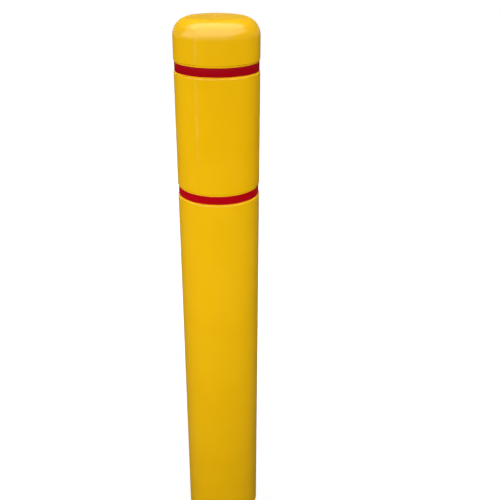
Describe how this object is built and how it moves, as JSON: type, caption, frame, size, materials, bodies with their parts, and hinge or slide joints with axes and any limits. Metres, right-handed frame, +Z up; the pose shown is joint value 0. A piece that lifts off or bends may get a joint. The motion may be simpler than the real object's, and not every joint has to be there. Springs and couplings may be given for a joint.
{
  "type": "bollard cover sleeve",
  "caption": "Tall straight plastic sleeve with a rounded closed top that slips over a steel post, with recessed bands of reflective tape outside and foam grip strips inside.",
  "frame": {"origin": "on the tube's axis, at the bottom rim that stands on the floor", "axes": "+Z up along the tube's axis, -Y towards the viewer in the picture, +X to the viewer's right"},
  "size_m": [0.1873, 0.1874, 1.3208],
  "materials": {
    "yellow_plastic": "satin moulded polyethylene with a faint parting line",
    "red_reflective_film": "glossy retroreflective film",
    "tape_adhesive": "translucent pressure-sensitive adhesive",
    "foam": "closed-cell foam with a cut skin",
    "strip_adhesive": "translucent pressure-sensitive adhesive"
  },
  "bodies": {
    "root": {"sleeve_shell": "yellow_plastic", "upper_reflective_tape": "red_reflective_film", "lower_reflective_tape": "red_reflective_film", "upper_tape_adhesive": "tape_adhesive", "lower_tape_adhesive": "tape_adhesive", "upper_foam_strip_front": "foam", "upper_foam_strip_right": "foam", "upper_foam_strip_back": "foam", "upper_foam_strip_left": "foam", "lower_foam_strip_front": "foam", "lower_foam_strip_right": "foam", "lower_foam_strip_back": "foam", "lower_foam_strip_left": "foam", "upper_strip_adhesive_front": "strip_adhesive", "upper_strip_adhesive_right": "strip_adhesive", "upper_strip_adhesive_back": "strip_adhesive", "upper_strip_adhesive_left": "strip_adhesive", "lower_strip_adhesive_front": "strip_adhesive", "lower_strip_adhesive_right": "strip_adhesive", "lower_strip_adhesive_back": "strip_adhesive", "lower_strip_adhesive_left": "strip_adhesive"}
  },
  "joints": []
}
